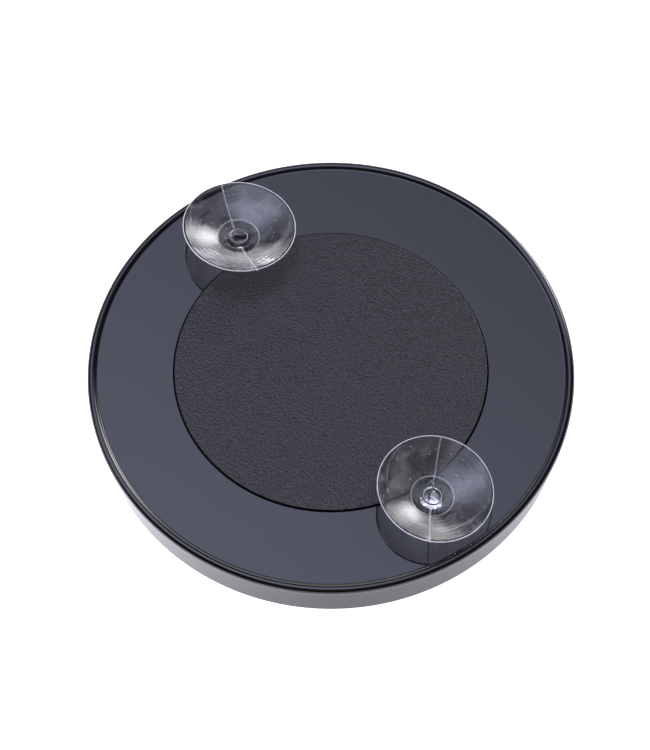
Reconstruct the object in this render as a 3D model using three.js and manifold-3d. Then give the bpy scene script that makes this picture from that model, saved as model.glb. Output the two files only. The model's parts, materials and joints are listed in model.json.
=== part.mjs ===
// Round suction-cup magnifying mirror, 88 mm across, lying on its mirror face.
// Millimetres, +Z up. The origin is the centre of the flat front land, at the surface it lies on.
// The back faces up, with two clear suction cups that stand in it opposite each other.
import * as THREE from 'three';
import { mergeVertices } from 'three/addons/utils/BufferGeometryUtils.js';
import Module from 'manifold-3d';

const wasm = await Module();
wasm.setup();

// ---- driving dimensions ----
const OUTER_RADIUS = 44; // edge flange of the rear cover
const BODY_BASE_RADIUS = 42.9; // side wall at its foot
const BODY_TOP_RADIUS = 42.6; // side wall under the flange, with the mould's draft
const BORE_RADIUS = 40.9; // inside of the side wall
const PART_LINE = 9.1; // height of the side wall's top, where the flange rests
const BACK_FACE = 9.9; // height of the smooth back face
const RIM_TOP = 10.35; // height of the raised edge rim
const RIM_WIDTH = 1.85; // from the outer edge to the foot of the rim's inner slope
const RIM_ROUND = 0.86; // radius of the rounded rim
const PLATE_THICKNESS = 1.6; // back plate of the rear cover
const RUNNING_GAP = 0.3; // between pieces that slide into each other
const EDGE_FILLET = 0.5; // round foot of the side wall

const PANEL_RADIUS = 28.25; // grained centre panel
const PANEL_GROOVE = 0.25; // gap all round the panel
const PANEL_THICKNESS = 1.0;
const PANEL_PROUD = 0.35; // how far the panel stands over the back face

const SEAT_HEIGHT = 1.4; // front lip's thickness, on which the glass lies
const SEAT_WIDTH = 2.3; // how far the front lip reaches in from the bore
const LIP_BEVEL = 0.6; // bevel at the lip's inner edge
const GLASS_THICKNESS = 1.8;
const GLASS_RADIUS = BORE_RADIUS - 0.5;
const GLASS_CURVATURE = 300; // radius of the magnifying curve
const FOAM_WIDTH = 3.2;
const FOAM_THICKNESS = 1.6;
const SKIRT_THICKNESS = 1.7; // ring under the rear cover that holds glass and foam down
const SNAP_BEAD = 0.45; // how far the skirt's snap bead stands out, with faces at 45 degrees
const SNAP_GROOVE = 0.5; // how deep its groove is in the side wall
const SNAP_HEIGHT = 6.6; // height of the bead's crest

const HOLE_CIRCLE_RADIUS = 31.4; // the two cup holes lie on this circle
const HOLE_RADIUS = 2.6;
const LEAN_ANGLE = 8.5; // a loose cup lies over until its neck is at the edge of its hole
const PIVOT_DEPTH = 2.0; // the cup rocks about a point this far under the back face
const CUPS = [
  { name: 'cup_1', holeAzimuth: 123, leansTowards: 60 },
  { name: 'cup_2', holeAzimuth: -57, leansTowards: 5 },
];

// The cup's own heights are measured up its axis from the point it rocks about.
const LIP_RADIUS = 10.4;
const LIP_WIDTH = 0.4;
const MOUTH_HEIGHT = 6.9;
const FLOOR_RADIUS = 3.95; // flat floor inside the bell
const FLOOR_HEIGHT = 3.7;
const HUB_RADIUS = 3.1; // flat underside of the bell's root
const HUB_HEIGHT = 2.95; // high enough to clear the panel's edge, whichever way the cup leans
const NECK_RADIUS = 2.2;
const NECK_FOOT = 0.15;
const HEAD_RADIUS = 3.6; // mushroom head under the back plate
const HEAD_TOP = -0.25;
const HEAD_THICKNESS = 2.05;

const BODY_SEGMENTS = 64;
const BELL_SEGMENTS = 40;
const HEAD_SEGMENTS = 32;

// ---- finishes ----
const glossBlack = () => new THREE.MeshStandardMaterial({ color: 0x121316, roughness: 0.08, metalness: 0 });
const grainedBlack = () => new THREE.MeshStandardMaterial({ color: 0x17171a, roughness: 0.45, metalness: 0 });
const silvered = () => new THREE.MeshStandardMaterial({ color: 0xd9dee0, roughness: 0.02, metalness: 1 });
const blackFoam = () => new THREE.MeshStandardMaterial({ color: 0x232325, roughness: 0.95, metalness: 0 });
const clearPvc = () =>
  new THREE.MeshStandardMaterial({
    color: 0xe9eeef, roughness: 0.08, metalness: 0, transparent: true, opacity: 0.35,
  });

// ---- helpers ----
const radians = THREE.MathUtils.degToRad;

// A quarter-round or other arc of an outline, as [radius, height] points.
function arc(centre, radius, fromDegrees, toDegrees, steps) {
  const points = [];
  for (let i = 0; i <= steps; i++) {
    const angle = radians(fromDegrees + ((toDegrees - fromDegrees) * i) / steps);
    points.push([centre[0] + radius * Math.cos(angle), centre[1] + radius * Math.sin(angle)]);
  }
  return points;
}

// A smooth stretch of an outline from one point to another, pulled towards a third.
function bend(from, pull, to, steps) {
  const curve = new THREE.QuadraticBezierCurve(
    new THREE.Vector2(...from), new THREE.Vector2(...pull), new THREE.Vector2(...to),
  );
  return curve.getPoints(steps).map((p) => [p.x, p.y]);
}

// Turns an outline of [radius, height] points about the Z axis.
function turned(outline, segments) {
  const geometry = new THREE.LatheGeometry(outline.map(([r, z]) => new THREE.Vector2(r, z)), segments);
  geometry.rotateX(Math.PI / 2);
  return geometry;
}

function toSolid(geometry) {
  const bare = geometry.clone();
  bare.deleteAttribute('normal');
  bare.deleteAttribute('uv');
  const merged = mergeVertices(bare, 1e-4);
  const corners = [];
  const index = merged.index.array;
  for (let i = 0; i < index.length; i += 3) {
    const [a, b, c] = [index[i], index[i + 1], index[i + 2]];
    if (a !== b && b !== c && c !== a) corners.push(a, b, c);
  }
  const mesh = new wasm.Mesh({
    numProp: 3,
    vertProperties: new Float32Array(merged.attributes.position.array),
    triVerts: new Uint32Array(corners),
  });
  return new wasm.Manifold(mesh);
}

function toGeometry(solid) {
  const mesh = solid.getMesh();
  const geometry = new THREE.BufferGeometry();
  geometry.setAttribute('position', new THREE.BufferAttribute(new Float32Array(mesh.vertProperties), 3));
  geometry.setIndex(new THREE.BufferAttribute(new Uint32Array(mesh.triVerts), 1));
  geometry.computeVertexNormals();
  return geometry;
}

function named(name, geometry, material) {
  const mesh = new THREE.Mesh(geometry, material);
  mesh.name = name;
  return mesh;
}

function holeCentre(cup) {
  const azimuth = radians(cup.holeAzimuth);
  return [HOLE_CIRCLE_RADIUS * Math.cos(azimuth), HOLE_CIRCLE_RADIUS * Math.sin(azimuth)];
}

// ---- heights that follow from the driving dimensions ----
const plateUnderside = BACK_FACE - PLATE_THICKNESS;
const glassSag = GLASS_CURVATURE - Math.sqrt(GLASS_CURVATURE ** 2 - GLASS_RADIUS ** 2);
const foamInnerRadius = GLASS_RADIUS - FOAM_WIDTH;
const skirtRadius = BORE_RADIUS - RUNNING_GAP;
const skirtFoot = SEAT_HEIGHT + GLASS_THICKNESS + FOAM_THICKNESS;

// Height of the glass's curve over its own edge, at a radius.
function glassRise(radius) {
  return Math.sqrt(GLASS_CURVATURE ** 2 - radius ** 2) - (GLASS_CURVATURE - glassSag);
}

// ---- front housing: side wall, front lip and snap groove ----
function frontHousing() {
  const lipRadius = BORE_RADIUS - SEAT_WIDTH;
  const groove = BORE_RADIUS + SNAP_GROOVE;
  const grooveMouth = 0.6; // half the groove's height at the bore
  const grooveFloor = 0.25; // half its height at its floor
  const outline = [
    [lipRadius + LIP_BEVEL, 0],
    ...arc([BODY_BASE_RADIUS - EDGE_FILLET, EDGE_FILLET], EDGE_FILLET, -90, 0, 3),
    [BODY_TOP_RADIUS, PART_LINE],
    [BORE_RADIUS, PART_LINE],
    [BORE_RADIUS, SNAP_HEIGHT + grooveMouth],
    [groove, SNAP_HEIGHT + grooveFloor],
    [groove, SNAP_HEIGHT - grooveFloor],
    [BORE_RADIUS, SNAP_HEIGHT - grooveMouth],
    [BORE_RADIUS, SEAT_HEIGHT],
    [lipRadius, SEAT_HEIGHT],
    [lipRadius, LIP_BEVEL],
    [lipRadius + LIP_BEVEL, 0],
  ];
  return named('front_housing', turned(outline, BODY_SEGMENTS), glossBlack());
}

// ---- concave mirror glass, lying in the front housing's seat ----
function mirrorGlass() {
  const steps = 7;
  const front = [];
  const back = [];
  for (let i = 0; i <= steps; i++) {
    const radius = (GLASS_RADIUS * i) / steps;
    front.push([radius, SEAT_HEIGHT + glassRise(radius)]);
    back.push([radius, SEAT_HEIGHT + GLASS_THICKNESS + glassRise(radius)]);
  }
  // The foam's inner edge is a point of the back, so that the foam lies on it all over.
  const outer = back.pop();
  back.push([foamInnerRadius, SEAT_HEIGHT + GLASS_THICKNESS + glassRise(foamInnerRadius)], outer);
  return named('mirror_glass', turned([...front, ...back.reverse()], BODY_SEGMENTS), silvered());
}

// ---- foam ring between the glass's edge and the rear cover's skirt ----
function foamRing() {
  const base = SEAT_HEIGHT + GLASS_THICKNESS;
  const outline = [
    [foamInnerRadius, base + glassRise(foamInnerRadius)],
    [GLASS_RADIUS, base],
    [GLASS_RADIUS, skirtFoot],
    [foamInnerRadius, skirtFoot],
    [foamInnerRadius, base + glassRise(foamInnerRadius)],
  ];
  return named('foam_ring', turned(outline, BODY_SEGMENTS), blackFoam());
}

// ---- rear cover: back plate, edge rim, skirt with snap bead, panel recess and cup holes ----
function rearCover() {
  const skirtInner = skirtRadius - SKIRT_THICKNESS;
  const chamfer = 0.4;
  const flangeFillet = 0.15;
  const crest = OUTER_RADIUS - RIM_ROUND;
  const roundHeight = RIM_TOP - RIM_ROUND; // where the rim's round starts, and its arc's centre lies
  const rimFoot = OUTER_RADIUS - RIM_WIDTH;
  // The hollow at the rim's foot has the radius that lets its arc run straight into the rim's round.
  const across = crest - rimFoot;
  const rise = BACK_FACE - roundHeight;
  const hollowRadius = (across ** 2 + rise ** 2 - RIM_ROUND ** 2) / (2 * (RIM_ROUND - rise));
  const slope = THREE.MathUtils.radToDeg(Math.atan2(across, rise + hollowRadius));
  const recessFloor = BACK_FACE + PANEL_PROUD - PANEL_THICKNESS;
  const recessRadius = PANEL_RADIUS + PANEL_GROOVE;
  const outline = [
    [0, plateUnderside],
    [skirtInner, plateUnderside],
    [skirtInner, skirtFoot],
    [skirtRadius - chamfer, skirtFoot],
    [skirtRadius, skirtFoot + chamfer],
    [skirtRadius, SNAP_HEIGHT - SNAP_BEAD],
    [skirtRadius + SNAP_BEAD, SNAP_HEIGHT],
    [skirtRadius, SNAP_HEIGHT + SNAP_BEAD],
    [skirtRadius, PART_LINE],
    ...arc([OUTER_RADIUS - flangeFillet, PART_LINE + flangeFillet], flangeFillet, -90, 0, 1),
    ...arc([crest, roundHeight], RIM_ROUND, 0, 90 + slope, 9),
    ...arc([rimFoot, BACK_FACE + hollowRadius], hollowRadius, slope - 90, -90, 3).slice(1),
    [recessRadius, BACK_FACE],
    [recessRadius, recessFloor],
    [0, recessFloor],
  ];
  let solid = toSolid(turned(outline, BODY_SEGMENTS));
  for (const cup of CUPS) {
    const drill = new THREE.CylinderGeometry(HOLE_RADIUS, HOLE_RADIUS, 4 * PLATE_THICKNESS, HEAD_SEGMENTS);
    drill.rotateX(Math.PI / 2);
    drill.translate(...holeCentre(cup), BACK_FACE);
    solid = solid.subtract(toSolid(drill));
  }
  return named('rear_cover', toGeometry(solid), glossBlack());
}

// ---- grained centre panel, set in the rear cover's recess ----
function centrePanel() {
  const top = BACK_FACE + PANEL_PROUD;
  const edge = 0.15;
  const outline = [
    [0, top - PANEL_THICKNESS],
    [PANEL_RADIUS, top - PANEL_THICKNESS],
    ...arc([PANEL_RADIUS - edge, top - edge], edge, 0, 90, 2),
    [0, top],
  ];
  return named('centre_panel', turned(outline, BODY_SEGMENTS), grainedBlack());
}

// ---- suction cup: bell with its neck, and the mushroom head that keeps it in the hole ----
function bellOutline() {
  const footChamfer = 0.4;
  const hubFillet = 0.25;
  const root = [HUB_RADIUS + 0.75, HUB_HEIGHT + 0.25]; // where the underside turns up from the hub
  const undersidePull = [LIP_RADIUS - 2.2, MOUTH_HEIGHT - 2.3];
  const insidePull = [LIP_RADIUS - 2.6, MOUTH_HEIGHT - 1.7];
  const lipThickness = 0.15;
  return [
    [0, NECK_FOOT],
    [NECK_RADIUS - footChamfer, NECK_FOOT],
    [NECK_RADIUS, NECK_FOOT + footChamfer],
    [NECK_RADIUS, HUB_HEIGHT - hubFillet],
    [NECK_RADIUS + hubFillet, HUB_HEIGHT],
    [HUB_RADIUS, HUB_HEIGHT],
    ...bend(root, undersidePull, [LIP_RADIUS, MOUTH_HEIGHT - lipThickness], 5),
    [LIP_RADIUS, MOUTH_HEIGHT],
    ...bend([LIP_RADIUS - LIP_WIDTH, MOUTH_HEIGHT], insidePull, [FLOOR_RADIUS, FLOOR_HEIGHT], 5),
    [0, FLOOR_HEIGHT],
  ];
}

function headOutline() {
  const foot = HEAD_TOP - HEAD_THICKNESS;
  const noseRadius = 0.4 * HEAD_RADIUS; // flat end of the rounded head
  const shoulderRadius = 0.8 * HEAD_RADIUS;
  const topChamfer = 0.2;
  return [
    [0, foot],
    [noseRadius, foot],
    [shoulderRadius, foot + 0.32 * HEAD_THICKNESS],
    [HEAD_RADIUS, foot + 0.66 * HEAD_THICKNESS],
    [HEAD_RADIUS, HEAD_TOP - topChamfer],
    [HEAD_RADIUS - topChamfer, HEAD_TOP],
    [0, HEAD_TOP],
  ];
}

function suctionCup(cup) {
  const stand = new THREE.Group();
  stand.position.set(...holeCentre(cup), BACK_FACE - PIVOT_DEPTH);
  stand.add(named(`${cup.name}_head`, turned(headOutline(), HEAD_SEGMENTS), clearPvc()));

  const lean = new THREE.Group();
  const towards = radians(cup.leansTowards);
  const leanAxis = new THREE.Vector3(-Math.sin(towards), Math.cos(towards), 0);
  lean.quaternion.setFromAxisAngle(leanAxis, radians(LEAN_ANGLE));
  lean.add(named(`${cup.name}_bell`, turned(bellOutline(), BELL_SEGMENTS), clearPvc()));
  stand.add(lean);
  return stand;
}

const mirror = new THREE.Group();
mirror.add(frontHousing(), mirrorGlass(), foamRing(), rearCover(), centrePanel());
for (const cup of CUPS) {
  mirror.add(suctionCup(cup));
}

export default mirror;
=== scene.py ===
"""Looks of the round suction-cup magnifying mirror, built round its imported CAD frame.

It lies on its mirror face with its back up. Lengths are metres and MM is one millimetre.
"""
import json
import math
import random

import bmesh
import bpy
from mathutils import Euler, Matrix, Vector


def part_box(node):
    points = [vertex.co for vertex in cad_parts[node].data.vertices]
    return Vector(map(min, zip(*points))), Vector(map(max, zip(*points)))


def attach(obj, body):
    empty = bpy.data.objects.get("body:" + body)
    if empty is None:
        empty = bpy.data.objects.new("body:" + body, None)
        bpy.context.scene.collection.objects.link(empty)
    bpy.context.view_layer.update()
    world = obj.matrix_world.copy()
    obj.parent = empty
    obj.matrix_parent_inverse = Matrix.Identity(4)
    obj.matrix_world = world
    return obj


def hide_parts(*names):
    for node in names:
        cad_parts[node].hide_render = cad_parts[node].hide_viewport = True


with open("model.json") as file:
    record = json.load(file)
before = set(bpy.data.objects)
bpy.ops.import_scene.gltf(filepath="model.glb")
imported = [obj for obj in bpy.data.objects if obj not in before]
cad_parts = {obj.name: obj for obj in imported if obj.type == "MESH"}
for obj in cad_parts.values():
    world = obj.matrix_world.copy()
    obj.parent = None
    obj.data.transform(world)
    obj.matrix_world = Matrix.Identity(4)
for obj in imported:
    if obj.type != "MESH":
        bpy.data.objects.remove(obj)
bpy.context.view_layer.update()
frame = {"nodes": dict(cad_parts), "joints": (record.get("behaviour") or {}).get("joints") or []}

MM = 0.001
SEGMENTS = 256

# ---------------------------------------------------------------- sizes read from the frame
cover_low, cover_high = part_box("rear_cover")
housing_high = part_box("front_housing")[1]
panel_low, panel_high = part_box("centre_panel")
glass_low, glass_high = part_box("mirror_glass")

OUTER = cover_high.x
RIM_TOP = cover_high.z
SKIRT_FOOT = cover_low.z
BODY_BASE = housing_high.x
PART_LINE = housing_high.z
PANEL_RADIUS = panel_high.x
PANEL_TOP = panel_high.z
PANEL_FOOT = panel_low.z
GLASS_RADIUS = glass_high.x
SEAT = glass_low.z

# ---------------------------------------------------------------- sizes that the frame doesn't state
PANEL_PROUD = 0.35 * MM
PANEL_GROOVE = 0.25 * MM
RIM_WIDTH = 1.85 * MM
RIM_ROUND = 0.86 * MM
PLATE_THICKNESS = 1.6 * MM
HOLE_RADIUS = 2.6 * MM
GLASS_PLAY = 0.5 * MM
SKIRT_PLAY = 0.3 * MM
SNAP_HEIGHT = 6.6 * MM
SNAP_BEAD = 0.45 * MM
SNAP_GROOVE = 0.5 * MM
BACK_FACE = PANEL_TOP - PANEL_PROUD
RECESS = PANEL_RADIUS + PANEL_GROOVE
RIM_FOOT = OUTER - RIM_WIDTH
PLATE_UNDER = BACK_FACE - PLATE_THICKNESS
BORE = GLASS_RADIUS + GLASS_PLAY
SKIRT = BORE - SKIRT_PLAY
GLASS_THICKNESS = 1.8 * MM
GLASS_CURVATURE = 300 * MM


# ---------------------------------------------------------------- outlines
def rounded(corners, steps=6, hold=0.08 * MM):
    """An outline of (radius, height, fillet) corners as (radius, height) points.

    Each fillet is an arc. A holding point on either side of it keeps the flat stretches' shading flat.
    """
    points = []
    count = len(corners)
    for i, (x, z, fillet) in enumerate(corners):
        here = Vector((x, z))
        if not fillet or i == 0 or i == count - 1:
            points.append(here)
            continue
        before = Vector(corners[i - 1][:2]) - here
        after = Vector(corners[i + 1][:2]) - here
        half = before.angle(after) / 2
        reach = fillet / math.tan(half)
        limit = 0.48 * min(before.length, after.length)
        if reach > limit:
            reach = limit
            fillet = reach * math.tan(half)
        before.normalize()
        after.normalize()
        centre = here + (before + after).normalized() * (fillet / math.sin(half))
        start = here + before * reach
        turn = (here + after * reach - centre).angle_signed(start - centre)
        points.append(start + before * min(hold, 0.3 * reach))
        arm = start - centre
        for k in range(steps + 1):
            swing = turn * k / steps
            c, s = math.cos(swing), math.sin(swing)
            points.append(centre + Vector((arm.x * c - arm.y * s, arm.x * s + arm.y * c)))
        points.append(here + after * (reach + min(hold, 0.3 * reach)))
    return points


def arc(centre, radius, start, end, steps):
    """Points of an arc about a centre, between two angles in radians."""
    points = []
    for k in range(steps + 1):
        angle = start + (end - start) * k / steps
        points.append(Vector((centre[0] + radius * math.cos(angle), centre[1] + radius * math.sin(angle))))
    return points


def bezier(a, pull, b, steps):
    """Points of a quadratic curve from a to b, pulled towards a third point."""
    a, pull, b = Vector(a), Vector(pull), Vector(b)
    points = []
    for k in range(steps + 1):
        t = k / steps
        points.append(a * (1 - t) ** 2 + pull * (2 * t * (1 - t)) + b * t ** 2)
    return points


# ---------------------------------------------------------------- meshes
def even_columns(count=SEGMENTS):
    """Column angles of a turned mesh, the same at every radius."""
    return lambda radius: [2 * math.pi * i / count for i in range(count)]


def turned(name, outline, closed, columns=None, shift=None, crease=32):
    """A piece made by turning an outline of (radius, height) points about the Z axis.

    closed joins the last point to the first. shift(ring, radius, angle) moves a point along the outline's
    own outward normal.
    """
    columns = columns or even_columns()
    bm = bmesh.new()
    rings = []
    count = len(outline)
    for i, p in enumerate(outline):
        radius, height = max(p[0], 0.0), p[1]
        if radius < 1e-7:
            rings.append([bm.verts.new((0, 0, height))])
            continue
        behind = Vector(outline[i - 1]) if i or closed else Vector(p)
        ahead = Vector(outline[(i + 1) % count]) if i < count - 1 or closed else Vector(p)
        along = (ahead - behind).normalized()
        normal = Vector((along.y, -along.x))
        ring = []
        for angle in columns(radius):
            out = shift(i, radius, angle) if shift else 0.0
            r = radius + normal.x * out
            ring.append(bm.verts.new((r * math.cos(angle), r * math.sin(angle), height + normal.y * out)))
        rings.append(ring)
    pairs = list(zip(rings, rings[1:]))
    if closed:
        pairs.append((rings[-1], rings[0]))
    for low, high in pairs:
        size = max(len(low), len(high))
        for k in range(size):
            n = (k + 1) % size
            corners = [low[k % len(low)], low[n % len(low)], high[n % len(high)], high[k % len(high)]]
            face = list(dict.fromkeys(corners))
            if len(face) > 2:
                bm.faces.new(face)
    bmesh.ops.recalc_face_normals(bm, faces=bm.faces)
    mesh = bpy.data.meshes.new(name)
    bm.to_mesh(mesh)
    bm.free()
    for polygon in mesh.polygons:
        polygon.use_smooth = True
    mesh.set_sharp_from_angle(angle=math.radians(crease))
    piece = bpy.data.objects.new(name, mesh)
    bpy.context.scene.collection.objects.link(piece)
    return piece


def bore(piece, cutter, crease=32):
    """Takes the cutter's shape out of the piece, and removes the cutter."""
    tool = piece.modifiers.new("bore", "BOOLEAN")
    tool.operation = "DIFFERENCE"
    tool.solver = "EXACT"
    tool.object = cutter
    bpy.context.view_layer.update()
    evaluated = piece.evaluated_get(bpy.context.evaluated_depsgraph_get())
    mesh = bpy.data.meshes.new_from_object(evaluated)
    piece.modifiers.clear()
    old = piece.data
    piece.data = mesh
    bpy.data.meshes.remove(old)
    bpy.data.objects.remove(cutter)
    for polygon in mesh.polygons:
        polygon.use_smooth = True
    mesh.set_sharp_from_angle(angle=math.radians(crease))


# ---------------------------------------------------------------- materials
def shader(name):
    """A new node material with its Principled shader and output, and a helper that adds nodes."""
    material = bpy.data.materials.new(name)
    material.use_nodes = True
    tree = material.node_tree
    principled = tree.nodes["Principled BSDF"]

    def node(kind, **settings):
        made = tree.nodes.new(kind)
        for key, value in settings.items():
            if key in made.inputs:
                made.inputs[key].default_value = value
            else:
                setattr(made, key, value)
        return made

    return material, principled, node, tree.links.new


def gloss_black():
    """Polished black ABS: deep gloss, with faint mould haze in its roughness and a barely uneven surface."""
    material, bsdf, node, link = shader("gloss_black")
    bsdf.inputs["Base Color"].default_value = (0.0025, 0.0026, 0.0034, 1)
    bsdf.inputs["IOR"].default_value = 1.54
    place = node("ShaderNodeTexCoord")
    haze = node("ShaderNodeTexNoise", Scale=90.0, Detail=5.0)
    spread = node("ShaderNodeMapRange")
    spread.inputs["To Min"].default_value = 0.02
    spread.inputs["To Max"].default_value = 0.055
    waves = node("ShaderNodeTexNoise", Scale=28.0, Detail=2.0)
    bump = node("ShaderNodeBump", Strength=0.06, Distance=0.0004)
    link(place.outputs["Object"], haze.inputs["Vector"])
    link(haze.outputs["Fac"], spread.inputs["Value"])
    link(spread.outputs["Result"], bsdf.inputs["Roughness"])
    link(place.outputs["Object"], waves.inputs["Vector"])
    link(waves.outputs["Fac"], bump.inputs["Height"])
    link(bump.outputs["Normal"], bsdf.inputs["Normal"])
    return material


def leather_grain():
    """Black plastic with a fine moulded leather grain: rounded pebbles about half a millimetre across."""
    material, bsdf, node, link = shader("grained_black")
    bsdf.inputs["IOR"].default_value = 1.47
    place = node("ShaderNodeTexCoord")
    sway = node("ShaderNodeTexNoise", Scale=1200.0, Detail=2.0)
    swayed = node("ShaderNodeVectorMath", operation="MULTIPLY_ADD")
    swayed.inputs[1].default_value = (0.0006, 0.0006, 0.0)
    link(place.outputs["Object"], sway.inputs["Vector"])
    link(sway.outputs["Color"], swayed.inputs[0])
    link(place.outputs["Object"], swayed.inputs[2])
    pebbles = node("ShaderNodeTexVoronoi", feature="SMOOTH_F1", Scale=2200.0, Smoothness=0.3)
    link(swayed.outputs["Vector"], pebbles.inputs["Vector"])
    fine = node("ShaderNodeTexNoise", Scale=4200.0, Detail=3.0)
    link(place.outputs["Object"], fine.inputs["Vector"])
    domes = node("ShaderNodeMath", operation="SUBTRACT")
    domes.inputs[0].default_value = 1.0
    link(pebbles.outputs["Distance"], domes.inputs[1])
    height = node("ShaderNodeMath", operation="MULTIPLY_ADD")
    height.inputs[1].default_value = 0.3
    link(fine.outputs["Fac"], height.inputs[0])
    link(domes.outputs["Value"], height.inputs[2])
    bump = node("ShaderNodeBump", Strength=1.0, Distance=0.000085)
    link(height.outputs["Value"], bump.inputs["Height"])
    link(bump.outputs["Normal"], bsdf.inputs["Normal"])
    shine = node("ShaderNodeMapRange")
    shine.inputs["To Min"].default_value = 0.4
    shine.inputs["To Max"].default_value = 0.26
    link(domes.outputs["Value"], shine.inputs["Value"])
    link(shine.outputs["Result"], bsdf.inputs["Roughness"])
    # Painted shade: the base colour is darker in the crevices between the pebbles and lighter on their tops,
    # as light falls on the grain.
    tint = node("ShaderNodeMix", data_type="RGBA")
    tint.inputs["A"].default_value = (0.0068, 0.0052, 0.004, 1)
    tint.inputs["B"].default_value = (0.0165, 0.0135, 0.011, 1)
    link(domes.outputs["Value"], tint.inputs["Factor"])
    link(tint.outputs["Result"], bsdf.inputs["Base Color"])
    return material


def clear_pvc(name, tint, haze, dull):
    """Clear soft PVC with cloudy flow marks and specks of dust. haze is how milky it is, dull how rough."""
    material, bsdf, node, link = shader(name)
    bsdf.inputs["Base Color"].default_value = tint
    bsdf.inputs["IOR"].default_value = 1.53
    place = node("ShaderNodeTexCoord")
    flow = node("ShaderNodeTexNoise", Scale=260.0, Detail=4.0, Distortion=0.6)
    link(place.outputs["Object"], flow.inputs["Vector"])
    specks = node("ShaderNodeTexVoronoi", Scale=1100.0)
    link(place.outputs["Object"], specks.inputs["Vector"])
    near = node("ShaderNodeMath", operation="LESS_THAN")
    near.inputs[1].default_value = 0.11
    link(specks.outputs["Distance"], near.inputs[0])
    few = node("ShaderNodeMath", operation="LESS_THAN")
    few.inputs[1].default_value = 0.4
    link(specks.outputs["Color"], few.inputs[0])
    speck = node("ShaderNodeMath", operation="MULTIPLY")
    link(near.outputs["Value"], speck.inputs[0])
    link(few.outputs["Value"], speck.inputs[1])
    cloud = node("ShaderNodeMapRange")
    cloud.inputs["From Min"].default_value = 0.48
    cloud.inputs["From Max"].default_value = 0.72
    cloud.inputs["To Min"].default_value = 1.0 - haze
    cloud.inputs["To Max"].default_value = 0.86 - haze
    link(flow.outputs["Fac"], cloud.inputs["Value"])
    clarity = node("ShaderNodeMapRange")
    link(cloud.outputs["Result"], clarity.inputs["To Min"])
    clarity.inputs["To Max"].default_value = 0.3
    link(speck.outputs["Value"], clarity.inputs["Value"])
    link(clarity.outputs["Result"], bsdf.inputs["Transmission Weight"])
    spread = node("ShaderNodeMapRange")
    spread.inputs["To Min"].default_value = dull
    spread.inputs["To Max"].default_value = dull + 0.14
    link(flow.outputs["Fac"], spread.inputs["Value"])
    link(spread.outputs["Result"], bsdf.inputs["Roughness"])
    bump = node("ShaderNodeBump", Strength=0.14, Distance=0.0003)
    link(flow.outputs["Fac"], bump.inputs["Height"])
    link(bump.outputs["Normal"], bsdf.inputs["Normal"])
    return material


def silvered_glass():
    """Silvered mirror glass: a bright metal under a clear coat, with very faint dust."""
    material, bsdf, node, link = shader("silvered_glass")
    bsdf.inputs["Metallic"].default_value = 1.0
    bsdf.inputs["Base Color"].default_value = (0.87, 0.89, 0.885, 1)
    bsdf.inputs["Coat Weight"].default_value = 1.0
    bsdf.inputs["Coat Roughness"].default_value = 0.01
    place = node("ShaderNodeTexCoord")
    dust = node("ShaderNodeTexNoise", Scale=1200.0, Detail=4.0)
    link(place.outputs["Object"], dust.inputs["Vector"])
    spread = node("ShaderNodeMapRange")
    spread.inputs["From Min"].default_value = 0.62
    spread.inputs["From Max"].default_value = 0.8
    spread.inputs["To Min"].default_value = 0.015
    spread.inputs["To Max"].default_value = 0.12
    link(dust.outputs["Fac"], spread.inputs["Value"])
    link(spread.outputs["Result"], bsdf.inputs["Roughness"])
    return material


def black_foam():
    """Closed-cell black foam: matte, with open cells at its cut faces."""
    material, bsdf, node, link = shader("black_foam")
    place = node("ShaderNodeTexCoord")
    cells = node("ShaderNodeTexVoronoi", Scale=2600.0)
    link(place.outputs["Object"], cells.inputs["Vector"])
    tint = node("ShaderNodeMix", data_type="RGBA")
    tint.inputs["A"].default_value = (0.012, 0.012, 0.013, 1)
    tint.inputs["B"].default_value = (0.032, 0.032, 0.034, 1)
    link(cells.outputs["Distance"], tint.inputs["Factor"])
    link(tint.outputs["Result"], bsdf.inputs["Base Color"])
    bsdf.inputs["Roughness"].default_value = 0.95
    bump = node("ShaderNodeBump", Strength=0.7, Distance=0.0001)
    link(cells.outputs["Distance"], bump.inputs["Height"])
    link(bump.outputs["Normal"], bsdf.inputs["Normal"])
    return material


# ---------------------------------------------------------------- pieces
def stand_in(piece, body, slot, material, *nodes):
    """Puts a finished piece in the place of its CAD nodes."""
    piece.data.materials.clear()
    piece.data.materials.append(material)
    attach(piece, body)
    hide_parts(*nodes)


def rim_outline():
    """The rounded edge rim and the hollow at its inner foot, from the rim's widest point inwards."""
    crest = OUTER - RIM_ROUND
    round_height = RIM_TOP - RIM_ROUND
    across = crest - RIM_FOOT
    rise = BACK_FACE - round_height
    hollow = (across ** 2 + rise ** 2 - RIM_ROUND ** 2) / (2 * (RIM_ROUND - rise))
    slope = math.atan2(across, rise + hollow)
    right_angle = math.pi / 2
    crown = arc((crest, round_height), RIM_ROUND, 0, right_angle + slope, 22)
    foot = arc((RIM_FOOT, BACK_FACE + hollow), hollow, slope - right_angle, -right_angle, 8)
    return [*crown, *foot[1:], Vector((RIM_FOOT - 0.1 * MM, BACK_FACE))]


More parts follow.
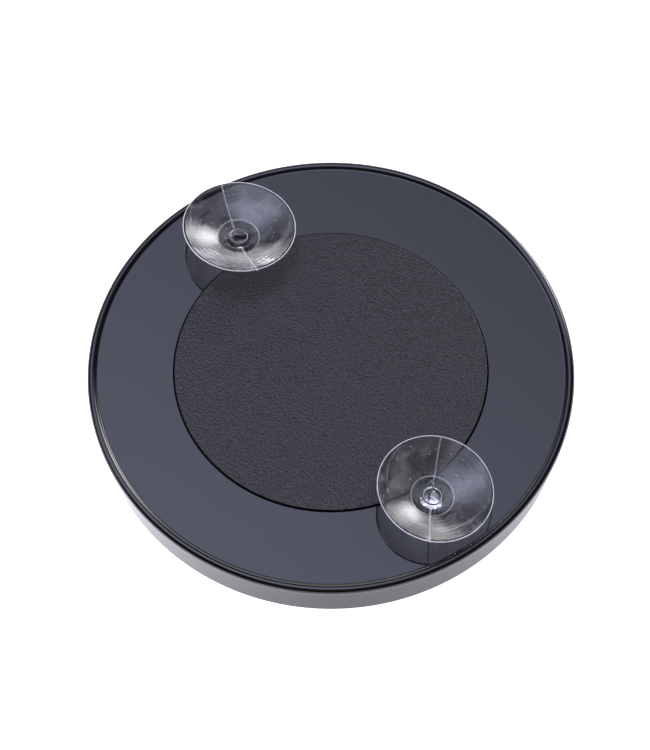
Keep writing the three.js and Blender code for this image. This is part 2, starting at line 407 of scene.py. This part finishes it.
def rear_cover(material, holes):
    """Back plate with the rounded rim, the panel's recess, the skirt with its snap bead and the cup holes."""
    skirt_thickness = 1.7 * MM
    skirt_inner = SKIRT - skirt_thickness
    below = rounded([
        (0, PLATE_UNDER, 0),
        (skirt_inner, PLATE_UNDER, 0.3 * MM),
        (skirt_inner, SKIRT_FOOT, 0.15 * MM),
        (SKIRT, SKIRT_FOOT, 0.35 * MM),
        (SKIRT, SNAP_HEIGHT - SNAP_BEAD, 0.1 * MM),
        (SKIRT + SNAP_BEAD, SNAP_HEIGHT, 0.2 * MM),
        (SKIRT, SNAP_HEIGHT + SNAP_BEAD, 0.1 * MM),
        (SKIRT, PART_LINE, 0),
        (OUTER, PART_LINE, 0.15 * MM),
        (OUTER, RIM_TOP - RIM_ROUND, 0),
    ])
    recess = rounded([
        (RIM_FOOT - 1 * MM, BACK_FACE, 0),
        (RECESS, BACK_FACE, 0.04 * MM),
        (PANEL_RADIUS + 0.03 * MM, PANEL_FOOT, 0.02 * MM),
        (0, PANEL_FOOT, 0),
    ])
    outline = [*below[:-1], *rim_outline(), *recess]
    piece = turned("back_cover", outline, closed=False)
    flare = 0.15 * MM
    mouth = HOLE_RADIUS + flare
    past = 1 * MM
    drill = [
        (0, PLATE_UNDER - past),
        (mouth, PLATE_UNDER - past),
        (mouth, PLATE_UNDER),
        (HOLE_RADIUS, PLATE_UNDER + flare),
        (HOLE_RADIUS, BACK_FACE - flare),
        (mouth, BACK_FACE),
        (mouth, BACK_FACE + past),
        (0, BACK_FACE + past),
    ]
    for x, y in holes:
        cutter = turned("drill", [Vector(p) for p in drill], closed=False, columns=even_columns(64))
        cutter.location = (x, y, 0)
        bore(piece, cutter)
    stand_in(piece, "mirror_body", "gloss_black", material, "rear_cover")


def front_housing(material):
    """Side wall with its draft, the front lip and the snap groove."""
    lip = BORE - 2.3 * MM
    bevel = 0.6 * MM
    draft = 0.3 * MM
    half_mouth = 0.6 * MM
    half_floor = 0.25 * MM
    outline = rounded([
        (lip + bevel, 0, 0.1 * MM),
        (BODY_BASE, 0, 0.5 * MM),
        (BODY_BASE - draft, PART_LINE, 0.05 * MM),
        (BORE, PART_LINE, 0.1 * MM),
        (BORE, SNAP_HEIGHT + half_mouth, 0.05 * MM),
        (BORE + SNAP_GROOVE, SNAP_HEIGHT + half_floor, 0.1 * MM),
        (BORE + SNAP_GROOVE, SNAP_HEIGHT - half_floor, 0.1 * MM),
        (BORE, SNAP_HEIGHT - half_mouth, 0.05 * MM),
        (BORE, SEAT, 0.1 * MM),
        (lip, SEAT, 0.1 * MM),
        (lip, bevel, 0.1 * MM),
        (lip + bevel, 0, 0.1 * MM),
    ])
    piece = turned("front_bezel", outline[:-1], closed=True)
    stand_in(piece, "mirror_body", "gloss_black", material, "front_housing")


def centre_panel(material):
    """The grained panel, with a softly rounded edge."""
    outline = rounded([
        (0, PANEL_FOOT, 0),
        (PANEL_RADIUS, PANEL_FOOT, 0.05 * MM),
        (PANEL_RADIUS, PANEL_TOP, 0.14 * MM),
        (0, PANEL_TOP, 0),
    ])
    piece = turned("grained_panel", outline, closed=False)
    stand_in(piece, "mirror_body", "grained_black", material, "centre_panel")


def mirror_glass(material):
    """The concave glass, of even thickness, with its edge ground round."""
    sag = GLASS_CURVATURE - math.sqrt(GLASS_CURVATURE ** 2 - GLASS_RADIUS ** 2)

    def rise(radius):
        return math.sqrt(GLASS_CURVATURE ** 2 - radius ** 2) - (GLASS_CURVATURE - sag)

    steps = 40
    ground = 0.15 * MM
    corner = 0.2 * MM
    radii = [(GLASS_RADIUS - ground) * i / steps for i in range(steps + 1)]
    front = [Vector((r, SEAT + rise(r))) for r in radii]
    back = [Vector((r, SEAT + GLASS_THICKNESS + rise(r))) for r in reversed(radii)]
    edge = [
        Vector((GLASS_RADIUS, SEAT + corner)),
        Vector((GLASS_RADIUS, SEAT + GLASS_THICKNESS - corner)),
    ]
    piece = turned("magnifying_glass", [*front, *edge, *back], closed=False)
    stand_in(piece, "mirror_body", "silvered_glass", material, "mirror_glass")


# ---------------------------------------------------------------- suction cups
LIP_RADIUS = 10.4 * MM
LIP_CUT = 0.17 * MM
MOUTH = 6.9 * MM
FLOOR_RADIUS = 3.95 * MM
FLOOR = 3.7 * MM
HUB_RADIUS = 3.1 * MM
HUB = 2.95 * MM
NECK_RADIUS = 2.2 * MM
HEAD_RADIUS = 3.6 * MM
HEAD_TOP = -0.25 * MM
HEAD_THICKNESS = 2.05 * MM
NUB_RADIUS = 1.65 * MM
NUB_WIDTH = 0.3 * MM
SEAM_PROUD = 0.16 * MM
SEAM_HALF_WIDTH = 0.11 * MM
REST_LEAN = 8.5  # degrees from upright, at rest


def cup_outline():
    """The whole cup up its axis from the point it rocks about: head, neck, hub, bell, lip, floor, gate mark.

    It also gives the rings that end the outside, and that start and end the inside. The inside of the bell
    is a little straighter than the CAD's.
    """
    foot = HEAD_TOP - HEAD_THICKNESS
    land = 0.45 * MM
    underside = bezier(
        (HUB_RADIUS + 0.75 * MM, HUB + 0.25 * MM), (LIP_RADIUS - 2.2 * MM, MOUTH - 2.3 * MM),
        (LIP_RADIUS - 0.02 * MM, MOUTH - 0.2 * MM), 24,
    )
    inside = bezier(
        (LIP_RADIUS - land - 0.05 * MM, MOUTH - 0.04 * MM), (LIP_RADIUS - 3.3 * MM, MOUTH - 1.55 * MM),
        (FLOOR_RADIUS, FLOOR + 0.25 * MM), 56,
    )
    below = rounded([
        (0, foot, 0),
        (0.5 * HEAD_RADIUS, foot, 0.8 * MM),
        (HEAD_RADIUS, foot + 1.3 * MM, 0.5 * MM),
        (HEAD_RADIUS, HEAD_TOP, 0.2 * MM),
        (NECK_RADIUS, HEAD_TOP, 0.1 * MM),
        (NECK_RADIUS, HUB, 0.25 * MM),
        (HUB_RADIUS, HUB, 0.1 * MM),
        (HUB_RADIUS + 0.7 * MM, HUB + 0.23 * MM, 0),
    ])
    lip = rounded([
        (underside[-1].x, underside[-1].y, 0),
        (LIP_RADIUS, MOUTH, 0.07 * MM),
        (LIP_RADIUS - LIP_CUT, MOUTH, 0),
        (LIP_RADIUS - land, MOUTH, 0.05 * MM),
        (inside[0].x, inside[0].y, 0),
    ])
    above = rounded([
        (inside[-1].x, inside[-1].y, 0),
        (FLOOR_RADIUS - 0.12 * MM, FLOOR + 0.25 * MM, 0.06 * MM),
        (FLOOR_RADIUS - 0.2 * MM, FLOOR, 0.06 * MM),
        (NUB_RADIUS + 0.1 * MM, FLOOR, 0.08 * MM),
        (NUB_RADIUS, FLOOR + 0.25 * MM, 0.08 * MM),
        (NUB_RADIUS - NUB_WIDTH, FLOOR + 0.25 * MM, 0.08 * MM),
        (NUB_RADIUS - NUB_WIDTH - 0.1 * MM, FLOOR - 0.15 * MM, 0.1 * MM),
        (0, FLOOR - 0.15 * MM, 0),
    ])
    outline = [*below, *underside[:-1], *lip, *inside[1:-1], *above]
    outside_end = len(below) + len(underside)
    inside_start = len(below) + len(underside) + len(lip) - 1
    return outline, outside_end, inside_start, inside_start + len(inside) - 2


def seamed_columns(seam, count=240):
    """Column angles with close columns on each side of the cup where its mould parted."""
    clear = 2.5 * 2 * math.pi / count
    offsets = (-0.3, -0.13, -0.1, -0.05, 0.0, 0.05, 0.1, 0.13, 0.3)

    def columns(radius):
        angles = []
        for side in (seam, seam + math.pi):
            reach = min(1.0, 0.8 * clear * radius / (offsets[-1] * MM))
            angles += [side + offset * MM * reach / radius for offset in offsets]
            free = math.pi - 2 * clear
            many = count // 2 - 4
            angles += [side + clear + free * k / many for k in range(many + 1)]
        return sorted(a % (2 * math.pi) for a in angles)

    return columns


def suction_cup(name, seam_azimuth, lean_towards, pivot, material, dull_material):
    """One clear cup: a single moulding with a thin raised line on its outside where the mould parted.

    The inside of the bell is faintly rippled, as soft PVC is when it leaves the mould. The raised line, the
    trimmed lip, the ring round the floor and the edge of the gate mark are duller than the rest.
    """
    outline, outside_end, inside_start, inside_end = cup_outline()
    seam = math.radians(seam_azimuth)
    draws = random.Random(name)
    waves = [(draws.choice((5, 8, 11, 17, 23)), draws.uniform(0, 2 * math.pi)) for _ in range(4)]

    def relief(ring, radius, angle):
        if ring < outside_end:
            away = abs(math.sin(angle - seam)) * radius
            return SEAM_PROUD if radius > 1 * MM and away < SEAM_HALF_WIDTH else 0.0
        if inside_start < ring < inside_end:
            inward = (ring - inside_start) / (inside_end - inside_start)
            envelope = math.sin(math.pi * inward) ** 0.5
            rings = 0.003 * math.sin(2 * math.pi * 7 * inward)
            streaks = sum(math.sin(many * angle + start) / many for many, start in waves)
            return (rings + 0.035 * streaks) * envelope * MM
        return 0.0

    piece = turned(name, outline, closed=False, columns=seamed_columns(seam), shift=relief, crease=38)
    number = name.removeprefix("suction_")
    stand_in(piece, f"{number}_bell", "clear_pvc", material, f"{number}_bell", f"{number}_head")
    piece.data.materials.append(dull_material)
    across = Vector((math.sin(seam), -math.cos(seam), 0))
    for polygon in piece.data.polygons:
        centre = polygon.center
        radius = centre.xy.length
        outside = centre.z < MOUTH - 0.05 * MM and polygon.normal.z < 0.2
        on_seam = outside and abs(centre.dot(across)) < SEAM_HALF_WIDTH + 0.01 * MM and radius > 1.2 * MM
        on_lip = centre.z > MOUTH - 0.12 * MM and radius > LIP_RADIUS - LIP_CUT
        on_ring = polygon.normal.z > 0 and FLOOR_RADIUS - 0.19 * MM < radius < FLOOR_RADIUS - 0.05 * MM
        on_nub = polygon.normal.z > 0.2 and NUB_RADIUS - 0.09 * MM < radius < NUB_RADIUS + 0.01 * MM
        if on_seam or on_lip or on_ring or on_nub:
            polygon.material_index = 1
    towards = math.radians(lean_towards)
    axis = Vector((-math.sin(towards), math.cos(towards), 0))
    piece.data.transform(Matrix.Translation(pivot) @ Matrix.Rotation(math.radians(REST_LEAN), 4, axis))


# ---------------------------------------------------------------- build
joints = {j["name"]: j for j in frame["joints"]}
pivots = [Vector(joints[f"cup_{i}_lean"]["pos_m"]) for i in (1, 2)]
black = gloss_black()
rear_cover(black, [(p.x, p.y) for p in pivots])
front_housing(black)
centre_panel(leather_grain())
mirror_glass(silvered_glass())
frame["nodes"]["foam_ring"].data.materials.clear()
frame["nodes"]["foam_ring"].data.materials.append(black_foam())
pvc = clear_pvc("clear_pvc", (0.87, 0.86, 0.85, 1), 0.0, 0.01)
frosted = clear_pvc("clear_pvc_flash", (0.97, 0.97, 0.97, 1), 0.75, 0.3)
suction_cup("suction_cup_1", 109, 60, pivots[0], pvc, frosted)
suction_cup("suction_cup_2", 83, 5, pivots[1], pvc, frosted)


# ---------------------------------------------------------------- floor, light and camera
def floor():
    """A pale floor that glows, more strongly on the left and far behind.

    It is clear from below and right under the body, so that the mirror can be looked at from there.
    """
    just_under = (0, 0, -0.1 * MM)
    bpy.ops.mesh.primitive_circle_add(vertices=96, radius=3.0, fill_type="NGON", location=just_under)
    plane = bpy.context.object
    plane.name = "floor"
    material, bsdf, node, link = shader("floor")
    bsdf.inputs["Base Color"].default_value = (0.8, 0.8, 0.8, 1)
    bsdf.inputs["Roughness"].default_value = 0.9
    bsdf.inputs["Specular IOR Level"].default_value = 0.0
    bsdf.inputs["Emission Color"].default_value = (1.0, 0.97, 1.05, 1)
    place = node("ShaderNodeTexCoord")
    across = node("ShaderNodeSeparateXYZ")
    glow = node("ShaderNodeMapRange")
    glow.inputs["From Min"].default_value = -OUTER
    glow.inputs["From Max"].default_value = 0.0
    glow.inputs["To Min"].default_value = 2.3
    glow.inputs["To Max"].default_value = 1.35
    link(place.outputs["Object"], across.inputs["Vector"])
    link(across.outputs["X"], glow.inputs["Value"])
    behind = node("ShaderNodeMapRange")
    behind.inputs["From Min"].default_value = 0.05
    behind.inputs["From Max"].default_value = 0.25
    behind.inputs["To Min"].default_value = 1.0
    behind.inputs["To Max"].default_value = 3.4
    link(across.outputs["Y"], behind.inputs["Value"])
    strength = node("ShaderNodeMath", operation="MULTIPLY")
    link(glow.outputs["Result"], strength.inputs[0])
    link(behind.outputs["Result"], strength.inputs[1])
    link(strength.outputs["Value"], bsdf.inputs["Emission Strength"])
    side = node("ShaderNodeNewGeometry")
    reach = node("ShaderNodeVectorMath", operation="LENGTH")
    link(place.outputs["Object"], reach.inputs[0])
    hidden = node("ShaderNodeMath", operation="LESS_THAN")
    hidden.inputs[1].default_value = BODY_BASE - 1.5 * MM
    link(reach.outputs["Value"], hidden.inputs[0])
    see_through = node("ShaderNodeMath", operation="MAXIMUM")
    link(side.outputs["Backfacing"], see_through.inputs[0])
    link(hidden.outputs["Value"], see_through.inputs[1])
    clear = node("ShaderNodeBsdfTransparent")
    mix = node("ShaderNodeMixShader")
    output = material.node_tree.nodes["Material Output"]
    link(see_through.outputs["Value"], mix.inputs["Fac"])
    link(bsdf.outputs["BSDF"], mix.inputs[1])
    link(clear.outputs["BSDF"], mix.inputs[2])
    link(mix.outputs["Shader"], output.inputs["Surface"])
    plane.data.materials.append(material)


def softbox(name, azimuth, elevation, distance, width, height, radiance, tint):
    """A flat light aimed at the object. Azimuth is counted from +Y towards +X."""
    a, e = math.radians(azimuth), math.radians(elevation)
    towards = Vector((math.sin(a) * math.cos(e), math.cos(a) * math.cos(e), math.sin(e)))
    data = bpy.data.lights.new(name, "AREA")
    data.shape = "RECTANGLE"
    data.size = width
    data.size_y = height
    data.energy = radiance * math.pi * width * height
    data.color = tint
    lamp = bpy.data.objects.new(name, data)
    lamp.location = towards * distance
    lamp.rotation_mode = "QUATERNION"
    lamp.rotation_quaternion = towards.to_track_quat("Z", "Y")
    bpy.context.scene.collection.objects.link(lamp)


def surroundings():
    """A dim room with soft glows in it for what the gloss reflects, and a pale backdrop for the camera.

    The glow with negative light is a dark flag: it takes some of the overhead glow away.
    """
    ambient = (0.1, 0.1, 0.11)
    least = (0.03, 0.03, 0.03)
    world = bpy.data.worlds.new("studio")
    world.use_nodes = True
    tree = world.node_tree
    tree.nodes.clear()
    link = tree.links.new
    direction = tree.nodes.new("ShaderNodeTexCoord")

    def glow(azimuth, elevation, width, height, softness, radiance, under):
        """Adds an oval soft light, on a sky of radius 1, to the colours under it."""
        a, e = math.radians(azimuth), math.radians(elevation)
        oval = tree.nodes.new("ShaderNodeMapping")
        oval.vector_type = "TEXTURE"
        middle = (math.sin(a) * math.cos(e), math.cos(a) * math.cos(e), math.sin(e))
        oval.inputs["Location"].default_value = middle
        oval.inputs["Rotation"].default_value = Euler((e, 0, -a))
        oval.inputs["Scale"].default_value = (width / 2, max(width, height) / 2, height / 2)
        fade = tree.nodes.new("ShaderNodeTexGradient")
        fade.gradient_type = "SPHERICAL"
        soft = tree.nodes.new("ShaderNodeMapRange")
        soft.interpolation_type = "SMOOTHSTEP"
        soft.inputs["From Max"].default_value = softness
        lit = tree.nodes.new("ShaderNodeVectorMath")
        lit.operation = "MULTIPLY_ADD"
        lit.inputs[1].default_value = radiance
        link(direction.outputs["Generated"], oval.inputs["Vector"])
        link(oval.outputs["Vector"], fade.inputs["Vector"])
        link(fade.outputs["Fac"], soft.inputs["Value"])
        link(soft.outputs["Result"], lit.inputs[0])
        if under is None:
            lit.inputs[2].default_value = ambient
        else:
            link(under, lit.inputs[2])
        return lit.outputs["Vector"]

    sky = glow(-48, 75, 1.5, 1.5, 0.98, (2.65, 2.8, 3.85), None)  # overhead
    sky = glow(-113, 66, 0.9, 0.9, 1.0, (-1.0, -1.05, -1.5), sky)  # dark flag
    sky = glow(37, 24, 0.6, 0.95, 1.0, (11.0, 11.0, 11.3), sky)  # lamp behind, on the right
    sky = glow(0, 7, 2.3, 0.5, 0.8, (2.9, 2.9, 2.95), sky)  # low backdrop
    sky = glow(20, -65, 1.9, 1.9, 1.0, (0.9, 0.92, 0.96), sky)  # under the floor, for the mirror
    lit_sky = tree.nodes.new("ShaderNodeVectorMath")
    lit_sky.operation = "MAXIMUM"
    lit_sky.inputs[1].default_value = least
    link(sky, lit_sky.inputs[0])
    path = tree.nodes.new("ShaderNodeLightPath")
    dim = tree.nodes.new("ShaderNodeBackground")
    link(lit_sky.outputs["Vector"], dim.inputs["Color"])
    pale = tree.nodes.new("ShaderNodeBackground")
    pale.inputs["Color"].default_value = (0.9, 0.9, 0.91, 1)
    pale.inputs["Strength"].default_value = 1.2
    mix = tree.nodes.new("ShaderNodeMixShader")
    output = tree.nodes.new("ShaderNodeOutputWorld")
    link(path.outputs["Is Camera Ray"], mix.inputs["Fac"])
    link(dim.outputs["Background"], mix.inputs[1])
    link(pale.outputs["Background"], mix.inputs[2])
    link(mix.outputs["Shader"], output.inputs["Surface"])
    bpy.context.scene.world = world


def camera():
    """At the photo's angle: about 62 degrees above the back face, from a long way off."""
    elevation = math.radians(62.3)
    distance = 11.5 * OUTER
    aim = Vector((-1.06 * MM, -1.22 * MM, BACK_FACE))
    back = Vector((0, -math.cos(elevation), math.sin(elevation)))
    data = bpy.data.cameras.new("camera")
    data.lens = 134.7
    data.sensor_width = 36
    data.clip_start = 0.01
    eye = bpy.data.objects.new("camera", data)
    eye.location = aim + back * distance
    eye.rotation_mode = "QUATERNION"
    roll = Matrix.Rotation(math.radians(-0.4), 4, "Z").to_quaternion()
    eye.rotation_quaternion = (-back).to_track_quat("-Z", "Y") @ roll
    bpy.context.scene.collection.objects.link(eye)
    bpy.context.scene.camera = eye


floor()
softbox("left_fill", -80, 40, 1.2, 0.4, 0.4, 1.5, (1.0, 1.0, 1.0))
surroundings()
camera()
bpy.context.scene.view_settings.view_transform = "Standard"
